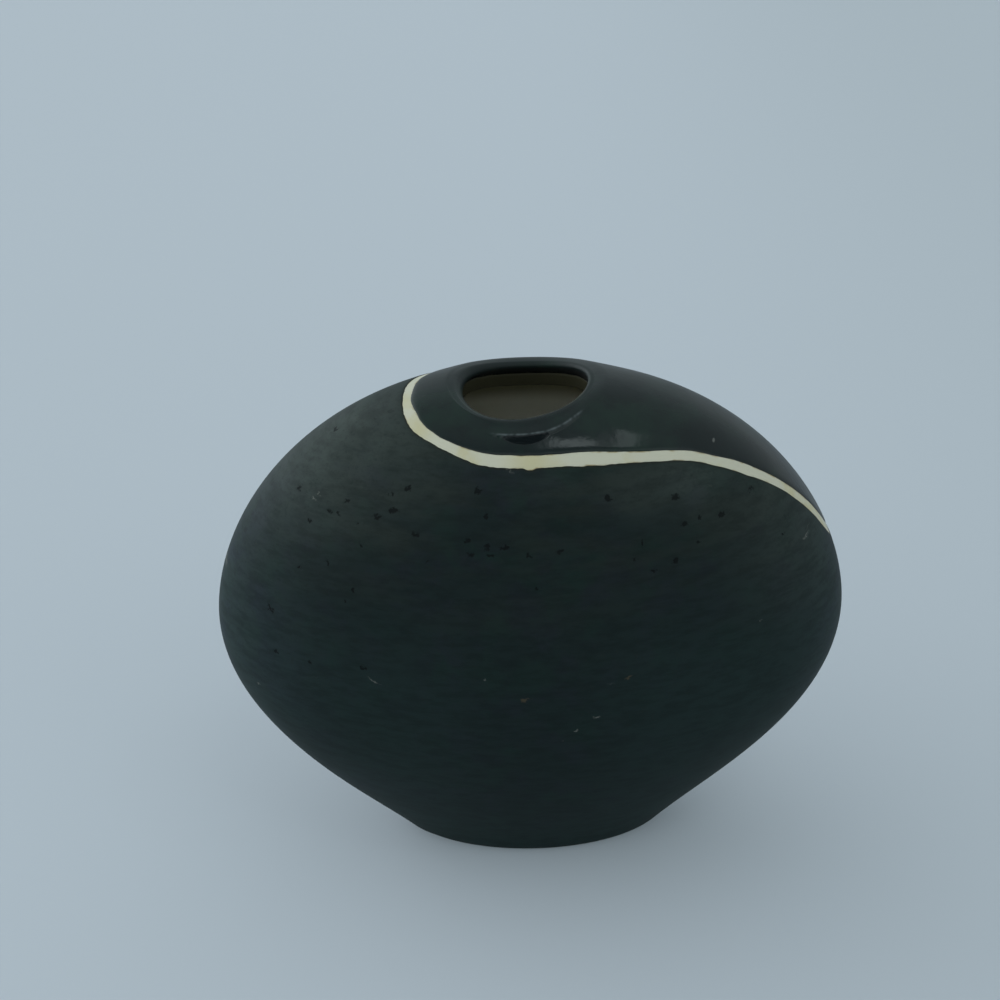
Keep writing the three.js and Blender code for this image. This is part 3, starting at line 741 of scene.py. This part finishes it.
# Gloss coat: a blue-black glaze, poured over the mouth, run down to the line and fired to a shine. It rolls
# over the lip into the neck, lies in a fold before the lip and ends in a soft bead above the line.
GLOSS_TURN_IN = 0.0047
GLOSS_TURN_IN_TREMOR = 0.00015
GLOSS_EDGE = 0.0024
GLOSS_BUNCHING = 1.5
GLOSS_COLOUR = (0.0036, 0.0088, 0.0088, 1.0)
GLOSS_PALE = (0.0062, 0.0128, 0.0126, 1.0)
GLOSS_GREEN = (0.0070, 0.0190, 0.0145, 1.0)
GLOSS_THIN = (0.0240, 0.0240, 0.0160, 1.0)
GLOSS_STAIN = (0.0170, 0.0150, 0.0085, 1.0)
GLOSS_BREAK_AND_HIGHLIGHT = (0.0700, 0.0850, 0.0880, 1.0)
GLOSS_CREASE_SHADE = (0.0030, 0.0055, 0.0065, 1.0)
GLOSS_NECK_SHADE = (0.0008, 0.0014, 0.0014, 1.0)
GLOSS_STAIN_REACH = (0.0007, 0.0001)
LIP_THIN_REACH = (0.0012, 0.0003)
LIP_THIN_DEPTHS = (-0.006, -0.016)
LIP_WORN_REACH = (0.0035, 0.0010)
DULL_DEPTHS = (-0.022, 0.006)
# Degrees, and the plan distance of the fold's edge from the mouth oval, in millimetres.
FOLD_EDGE = np.array([
    [200, 8.6], [248, 8.8], [253, 8.6], [259, 8.35], [267, 8.2], [275, 7.9],
    [285, 7.5], [296, 7.1], [303, 6.65], [312, 6.2], [330, 5.6], [355, 6.5],
]) * [1.0, 0.001]
FOLD_RUN_UP = 0.0036
RIDGE = 0.0006
RIDGE_FALL = 0.0009
RIDGE_START = (243.0, 256.0)
RIDGE_STOP = (300.0, 322.0)
LENS_WIDTH = 0.0022
LENS_SLOPE = 0.5
LENS_SIDE = 269.0
LENS_HALF_TURN = 15.0
CREASE_SHADE_START = (0.0002, 0.0006)
CREASE_SHADE_STOP = (-0.0003, 0.0003)
BREAK_HIGHLIGHT_EDGE = 0.0001
BREAK_HIGHLIGHT_SPREAD = 0.00030
BREAK_HIGHLIGHT_LEVEL = 0.8
BREAK_HIGHLIGHT_TREMOR = 0.5
BREAK_HIGHLIGHT_START = (245.0, 254.0)
BREAK_HIGHLIGHT_STOP = (305.0, 316.0)
DARK_NECK_ROWS = 8
NICKS = np.array([[69, 187, 0.8, 0.8, 0, 1]])


def ease(value, low, high):
    """Smooth step from 0 at low to 1 at high."""
    t = np.clip((value - low) / (high - low), 0.0, 1.0)
    return t * t * (3.0 - 2.0 * t)


def front_share(start, stop):
    """Share of 1 over the front, eased in over one pair of degrees and out over another."""
    side = np.degrees(ROUND)
    return ease(side, *start) * (1.0 - ease(side, *stop))


def lens_width():
    """Plan width of the lens-shaped face under the fold's edge: half an oval over the front."""
    turn = (np.degrees(ROUND) - LENS_SIDE) / LENS_HALF_TURN
    return LENS_WIDTH * np.sqrt(np.maximum(1.0 - turn ** 2, 0.0))


def past_fold(points):
    """Plan distance from the mouth oval, less that of the fold's edge."""
    away = np.linalg.norm((points - mouth_point(0.0, ROUND, 0.0))[..., :2], axis=-1)
    return away - closed_course(FOLD_EDGE, ROUND)[:, 0]


def front_fold(points):
    """Rise of the fold before the lip: it swells slowly to an edge, falls evenly back to the dome over the
    width of the lens and fades out to both sides of the front."""
    past = past_fold(points)
    rise = np.maximum(LENS_SLOPE * lens_width(), RIDGE * front_share(RIDGE_START, RIDGE_STOP))
    fall = np.clip(past / np.maximum(lens_width(), RIDGE_FALL), 0.0, 1.0)
    return rise * ease(past, -FOLD_RUN_UP, 0.0) * (1.0 - fall)


def folded(zone, station):
    """Rows of a zone with the front fold added, square to the surface."""
    return sunk(zone, station, -front_fold(sunk(zone, station, 0.0)))


gloss_edge_rows = beside_line(line_top_edge - GLOSS_EDGE * (1.0 - np.cos(edge_turn)))[::-1]
gloss_dome_rows = np.linspace(0.0, 1.0, 60)[1:-1, None] ** GLOSS_BUNCHING * gloss_edge_rows[0]
gloss_end = -GLOSS_TURN_IN + hand_tremor(5, GLOSS_TURN_IN_TREMOR)
gloss_neck_share = np.linspace(0.0, 1.0, 6)[:-1]
gloss_neck_rows = gloss_end + gloss_neck_share[:, None] * (-lip_radius(ROUND) - gloss_end)
gloss_lip_rows = np.linspace(0.0, np.pi / 2.0, 10)
gloss_throat_rows = np.linspace(0.0, 1.0, 24)[1:]
gloss_outer = np.concatenate([
    sunk(bore, gloss_neck_rows, -LIP_INSET * np.sqrt(gloss_neck_share)),
    sunk(lip, gloss_lip_rows, 0.0),
    folded(throat, gloss_throat_rows),
    folded(crown, gloss_dome_rows),
    sunk(crown, gloss_edge_rows, edge_depth[::-1]),
])
gloss_inner = np.concatenate([
    sunk(bore, gloss_neck_rows[::2], COAT),
    sunk(lip, gloss_lip_rows[::3], COAT),
    sunk(throat, gloss_throat_rows[2::4], COAT),
    sunk(crown, gloss_dome_rows[3::6], COAT),
    sunk(crown, gloss_edge_rows[-1:], COAT),
])
gloss_grid = np.concatenate([gloss_outer[::-1], gloss_inner])
gloss_coat = skin("gloss_coat", gloss_grid, True)

gloss_rows = np.concatenate([gloss_dome_rows, gloss_edge_rows])
gloss_below = (gloss_rows - line_station(ROUND)) * line_scale(ROUND)
gloss_reach = np.full(gloss_grid.shape[:2], FAR_OFF)
gloss_reach[:gloss_rows.shape[0]] = (line_top_edge - gloss_below)[::-1]
note(gloss_coat, "above_line", gloss_reach)
gloss_away = np.linalg.norm((gloss_grid - mouth_point(0.0, ROUND, 0.0))[..., :2], axis=-1)
note(gloss_coat, "from_lip", gloss_away - LIP_BULGE * sag_share(ROUND))
gloss_last = gloss_outer.shape[0]
# Share of painted shade on the rows that turn into the neck.
neck_shade_share = np.zeros(gloss_away.shape)
neck_shade_share[gloss_last - DARK_NECK_ROWS:gloss_last] = np.linspace(0.0, 1.0, DARK_NECK_ROWS)[:, None]
note(gloss_coat, "neck_shade", neck_shade_share)
fold_past = past_fold(gloss_grid)
# Mask for a paler glaze break and painted highlight along the fold's edge.
fold_break_highlight = (BREAK_HIGHLIGHT_LEVEL + hand_tremor(11, BREAK_HIGHLIGHT_TREMOR)) * front_share(BREAK_HIGHLIGHT_START, BREAK_HIGHLIGHT_STOP)
note(gloss_coat, "fold_edge_highlight", fold_break_highlight * np.exp(-((fold_past - BREAK_HIGHLIGHT_EDGE) / BREAK_HIGHLIGHT_SPREAD) ** 2))
# Mask for painted shade in the crease under the fold's edge.
fold_crease_shade = ease(fold_past, *CREASE_SHADE_START) * (1.0 - ease(fold_past - lens_width(), *CREASE_SHADE_STOP))
note(gloss_coat, "fold_crease_shade", fold_crease_shade)

gloss, gloss_shader = new_finish("gloss blue-black glaze", 0.12, 0.28)
gloss_place = object_place(gloss)
gloss_split = parts_of(gloss, gloss_place)
gloss_cloud = grain(gloss, gloss_place, 45.0, 4.0, 0.6)
gloss_from_lip = noted(gloss, "from_lip")

# Green clouds, a brown stain by the line, thin glaze on the lip's front, painted highlight and shade at fold
# and neck.
gloss_tint = mixed(gloss, share_of(gloss, gloss_cloud, 0.35, 0.7), GLOSS_COLOUR, GLOSS_PALE)
gloss_stain = share_of(gloss, noted(gloss, "above_line"), *GLOSS_STAIN_REACH)
gloss_tint = mixed(gloss, times(gloss, gloss_stain, 0.45), gloss_tint, GLOSS_STAIN)
gloss_moss = share_of(gloss, grain(gloss, gloss_place, 30.0, 5.0, 0.6), 0.48, 0.66)
gloss_tint = mixed(gloss, gloss_moss, gloss_tint, GLOSS_GREEN)
gloss_front = share_of(gloss, gloss_split["Y"], *LIP_THIN_DEPTHS)
gloss_thin = times(gloss, share_of(gloss, gloss_from_lip, *LIP_THIN_REACH), gloss_front)
gloss_tint = mixed(gloss, gloss_thin, gloss_tint, GLOSS_THIN)
# Painted shade: the crease under the fold's edge is darkened.
gloss_tint = mixed(gloss, noted(gloss, "fold_crease_shade"), gloss_tint, GLOSS_CREASE_SHADE)
# Paler glaze break and painted highlight: a pale line along the fold's edge.
gloss_tint = mixed(gloss, noted(gloss, "fold_edge_highlight"), gloss_tint, GLOSS_BREAK_AND_HIGHLIGHT)
# Painted shade: the gloss inside the neck is darkened nearly to black.
gloss_neck_shade = share_of(gloss, noted(gloss, "neck_shade"), 0.1, 0.6)
gloss_tint = mixed(gloss, gloss_neck_shade, gloss_tint, GLOSS_NECK_SHADE)
gloss_nicks = share_of(gloss, spots(gloss, gloss_place, marks(-1.0, NICKS)), 0.1, 0.7)
gloss_tint = mixed(gloss, gloss_nicks, gloss_tint, SCUFF_COLOUR)
join(gloss, gloss_tint, gloss_shader, "Base Color")

# The shine is duller behind the mouth and where hands have worn the lip, and it varies with the clouds.
gloss_dull = times(gloss, share_of(gloss, gloss_split["Y"], *DULL_DEPTHS), 0.30)
gloss_worn = times(gloss, share_of(gloss, gloss_from_lip, *LIP_WORN_REACH), 0.40)
gloss_dull = reckon(gloss, "MAXIMUM", gloss_dull, gloss_worn)
gloss_dull = reckon(gloss, "ADD", gloss_dull, times(gloss, gloss_cloud, 0.16))
join(gloss, reckon(gloss, "ADD", gloss_dull, 0.04), gloss_shader, "Roughness")
gloss_wave = grain(gloss, gloss_place, 160.0, 3.0, 0.5)
bumped(gloss, gloss_shader, gloss_wave, 0.2, 0.0006)
gloss_coat.data.materials.append(gloss)
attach(gloss_coat, "root")
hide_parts("shoulder_glaze")

# Cream line: a band of pale slip, brushed into a groove between the two coats and scraped level. It runs
# once round the shoulder and dips at the right side.
LINE_SET = 0.00025
LINE_UNDERLAP = 0.0004
CREAM_COLOUR = (0.575, 0.555, 0.435, 1.0)
CREAM_YELLOW = (0.545, 0.50, 0.31, 1.0)
CREAM_EDGE = (0.36, 0.29, 0.15, 1.0)
CREAM_THIN_REACH = (0.0003, -0.0002)
CREAM_RUB = 0.0007
CREAM_RUB_LEAST = -0.0002
CREAM_STAINS = np.array([
    [1, -37.5, 190.5, 14, 14, 14, 0, 1.0], [-40, -23, 197, 9, 9, 9, 0, 0.9],
    [-45, -7, 202, 8, 8, 8, 0, 0.6], [40, 30, 190, 14, 14, 14, 0, 0.8],
    [-30, 28, 197, 12, 12, 12, 0, 0.8], [92, 20, 170, 14, 14, 14, 0, 0.7],
])

line_share = np.linspace(0.0, 1.0, 11)[:, None]
line_from = line_top_edge - LINE_UNDERLAP
line_to = line_low_edge + LINE_UNDERLAP
line_width = line_to - line_from
line_rows = beside_line(line_from + line_share * line_width)
line_face = sunk(crown, line_rows, LINE_SET)
line_back = sunk(crown, line_rows[::5], COAT)
cream_line = skin("cream_band", np.concatenate([line_face[::-1], line_back]), True)

line_inset = np.minimum(line_share, 1.0 - line_share) * line_width
line_inset = np.concatenate([line_inset[::-1], line_inset[::5]]) - LINE_UNDERLAP
note(cream_line, "line_inset", line_inset)

cream, cream_shader = new_finish("cream slip", 0.5, 0.35)
cream_place = object_place(cream)
cream_cloud = grain(cream, cream_place, 55.0, 4.0, 0.6)
cream_grit = grain(cream, cream_place, 420.0, 4.0, 0.65)
cream_aged = share_of(cream, cream_cloud, 0.50, 0.74)
cream_aged = reckon(cream, "ADD", cream_aged, spots(cream, cream_place, CREAM_STAINS))
cream_tint = mixed(cream, share_of(cream, cream_aged, 0.0, 1.0), CREAM_COLOUR, CREAM_YELLOW)
cream_rub = reckon(cream, "ADD", times(cream, cream_grit, CREAM_RUB), CREAM_RUB_LEAST)
cream_inset = reckon(cream, "SUBTRACT", noted(cream, "line_inset"), cream_rub)
cream_gaps = share_of(cream, grain(cream, cream_place, 120.0, 3.0, 0.6), 0.47, 0.66)
cream_thin = times(cream, share_of(cream, cream_inset, *CREAM_THIN_REACH), cream_gaps)
join(cream, mixed(cream, cream_thin, cream_tint, CREAM_EDGE), cream_shader, "Base Color")
bumped(cream, cream_shader, cream_grit, 0.3, 0.0002)
cream_line.data.materials.append(cream)
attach(cream_line, "root")
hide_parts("cream_line")

# Table: a plain pale sheet, blue-grey, that the vase stands on and that runs out past the picture. It is
# lightened a little where it is seen or mirrored, which leaves the light on the vase and its shadow alone.
TABLE_COLOUR = (0.505, 0.535, 0.58, 1.0)
TABLE_FAR_RIGHT_SHADE = (0.45, 0.48, 0.515, 1.0)
TABLE_GLOW = (0.42, 0.54, 0.60, 1.0)
TABLE_FILL = 0.13
TABLE_REACH = 6.0
TABLE_SHADE_SPAN = (0.0, 0.50)
table_mesh = bpy.data.meshes.new("table")
table_corners = TABLE_REACH * np.array([(-1, -1, 0), (1, -1, 0), (1, 1, 0), (-1, 1, 0)])
table_mesh.from_pydata(table_corners.tolist(), [], [(0, 1, 2, 3)])
table = bpy.data.objects.new("table", table_mesh)
bpy.context.scene.collection.objects.link(table)
table_sheet, table_shader = new_finish("pale table sheet", 0.85, 0.1)
table_split = parts_of(table_sheet, object_place(table_sheet))
# Painted shade: the sheet's colour darkens towards the right, where the light falls off.
table_right_shade = share_of(table_sheet, table_split["X"], *TABLE_SHADE_SPAN)
join(table_sheet, mixed(table_sheet, table_right_shade, TABLE_COLOUR, TABLE_FAR_RIGHT_SHADE), table_shader, "Base Color")
table_shader.inputs["Emission Color"].default_value = TABLE_GLOW
table_rays = add(table_sheet, "ShaderNodeLightPath", {}).outputs
table_mirrored = reckon(
    table_sheet, "MAXIMUM", table_rays["Is Glossy Ray"], table_rays["Is Transmission Ray"])
table_seen = reckon(table_sheet, "MAXIMUM", table_rays["Is Camera Ray"], table_mirrored)
join(table_sheet, times(table_sheet, table_seen, TABLE_FILL), table_shader, "Emission Strength")
table.data.materials.append(table_sheet)

# Light: a tent of white cloth with no lamp in it. Its left wall glows most, its roof is dim, a dark slot
# runs along its front, and bright cloths hang over the front right, where the gloss coat mirrors them. The
# camera itself sees an even pale colour past the table.
TENT_LEFT = (1.68, 1.86, 1.94, 1.0)
TENT_BACK = (0.50, 0.58, 0.61, 1.0)
TENT_RIGHT = (0.51, 0.58, 0.61, 1.0)
TENT_ROOF = (0.52, 0.59, 0.61, 1.0)
TENT_FRONT = (0.88, 0.98, 1.01, 1.0)
TENT_FRONT_ROOF = (0.38, 0.43, 0.45, 1.0)
TENT_SLOT = (0.06, 0.075, 0.08, 1.0)
TENT_SEEN = (0.43, 0.50, 0.56, 1.0)
SLOT_HEIGHTS = (0.38, 0.52)
SLOT_SIDES = (-0.52, 0.60)
SLOT_FRONT = (-0.2, -0.4)
SLOT_SOFT_ENDS = 0.04
SLOT_SOFT_EDGES = 0.02
ROOF_LOWEST = 0.05
CLOTH_COLOUR = np.array([0.86, 0.98, 1.0])
CLOTH_SOFT_LEFT = 0.015
CLOTH_SOFT_RIGHT = 0.09
CLOTH_SOFT_ENDS = 0.03
# Left, right, front and back edge on a roof at a height of 1, and the glow.
CLOTHS = (
    (0.12, 0.40, -0.55, -0.40, 3.2),
    (0.455, 0.60, -0.53, -0.15, 2.1),
    (0.37, 0.46, -0.52, -0.24, 0.9),
    (0.062, 0.12, -0.55, -0.42, 1.3),
)


def between(finish, value, edges, low_soft, high_soft):
    """Share of 1 between two edges, each of which fades out over its softness to both sides of it."""
    low, high = edges
    above = share_of(finish, value, low - low_soft, low + low_soft)
    below = share_of(finish, value, high + high_soft, high - high_soft)
    return times(finish, above, below)


tent = bpy.data.worlds.new("tent")
tent.use_nodes = True
bpy.context.scene.world = tent
tent_split = parts_of(tent, add(tent, "ShaderNodeTexCoord", {}).outputs["Generated"])
tent_wall = mixed(tent, share_of(tent, tent_split["X"], 0.2, 0.8), TENT_BACK, TENT_RIGHT)
tent_wall = mixed(tent, share_of(tent, tent_split["X"], -0.2, -0.7), tent_wall, TENT_LEFT)
tent_glow = mixed(tent, share_of(tent, tent_split["Z"], 0.60, 0.85), tent_wall, TENT_ROOF)
tent_front = mixed(tent, share_of(tent, tent_split["Z"], 0.60, 0.78), TENT_FRONT, TENT_FRONT_ROOF)
tent_glow = mixed(tent, share_of(tent, tent_split["Y"], -0.10, -0.50), tent_glow, tent_front)
slot = between(tent, tent_split["Z"], SLOT_HEIGHTS, SLOT_SOFT_EDGES, SLOT_SOFT_EDGES)
slot = times(tent, slot, between(tent, tent_split["X"], SLOT_SIDES, SLOT_SOFT_ENDS, SLOT_SOFT_ENDS))
slot = times(tent, slot, share_of(tent, tent_split["Y"], *SLOT_FRONT))
tent_glow = mixed(tent, slot, tent_glow, TENT_SLOT)
roof_height = reckon(tent, "MAXIMUM", tent_split["Z"], ROOF_LOWEST)
roof_x = reckon(tent, "DIVIDE", tent_split["X"], roof_height)
roof_y = reckon(tent, "DIVIDE", tent_split["Y"], roof_height)
for left, right, front, back, glow in CLOTHS:
    across = between(tent, roof_x, (left, right), CLOTH_SOFT_LEFT, CLOTH_SOFT_RIGHT)
    along = between(tent, roof_y, (front, back), CLOTH_SOFT_ENDS, CLOTH_SOFT_ENDS)
    tent_glow = mixed(tent, times(tent, across, along), tent_glow, (*(glow * CLOTH_COLOUR), 1.0))
tent_rays = add(tent, "ShaderNodeLightPath", {}).outputs
tent_seen = reckon(tent, "MAXIMUM", tent_rays["Is Camera Ray"], tent_rays["Is Transmission Ray"])
join(tent, mixed(tent, tent_seen, tent_glow, TENT_SEEN), tent.node_tree.nodes["Background"], "Color")

# Camera: at the photograph's height and distance, with a fairly long lens, looking down 29 degrees and
# rolled a little to one side.
CAMERA_SPOT = np.array([-0.0109, -0.58982, 0.48303])
CAMERA_PITCH = np.radians(29.160)
CAMERA_ROLL = np.radians(-1.72)
CAMERA_LENS = 62.388
CAMERA_SENSOR = 36.0
CAMERA_NEAR = 0.01
forward = np.array([0.0, np.cos(CAMERA_PITCH), -np.sin(CAMERA_PITCH)])
level = np.array([1.0, 0.0, 0.0])
upright = np.array([0.0, np.sin(CAMERA_PITCH), np.cos(CAMERA_PITCH)])
camera_turn = np.eye(4)
camera_turn[:3, 0] = np.cos(CAMERA_ROLL) * level + np.sin(CAMERA_ROLL) * upright
camera_turn[:3, 1] = -np.sin(CAMERA_ROLL) * level + np.cos(CAMERA_ROLL) * upright
camera_turn[:3, 2] = -forward
camera_turn[:3, 3] = CAMERA_SPOT
camera_lens = bpy.data.cameras.new("camera")
camera_lens.sensor_width = CAMERA_SENSOR
camera_lens.lens = CAMERA_LENS
camera_lens.clip_start = CAMERA_NEAR
camera = bpy.data.objects.new("camera", camera_lens)
camera.matrix_world = Matrix(camera_turn.tolist())
bpy.context.scene.collection.objects.link(camera)
bpy.context.scene.camera = camera
bpy.context.scene.view_settings.view_transform = "Standard"
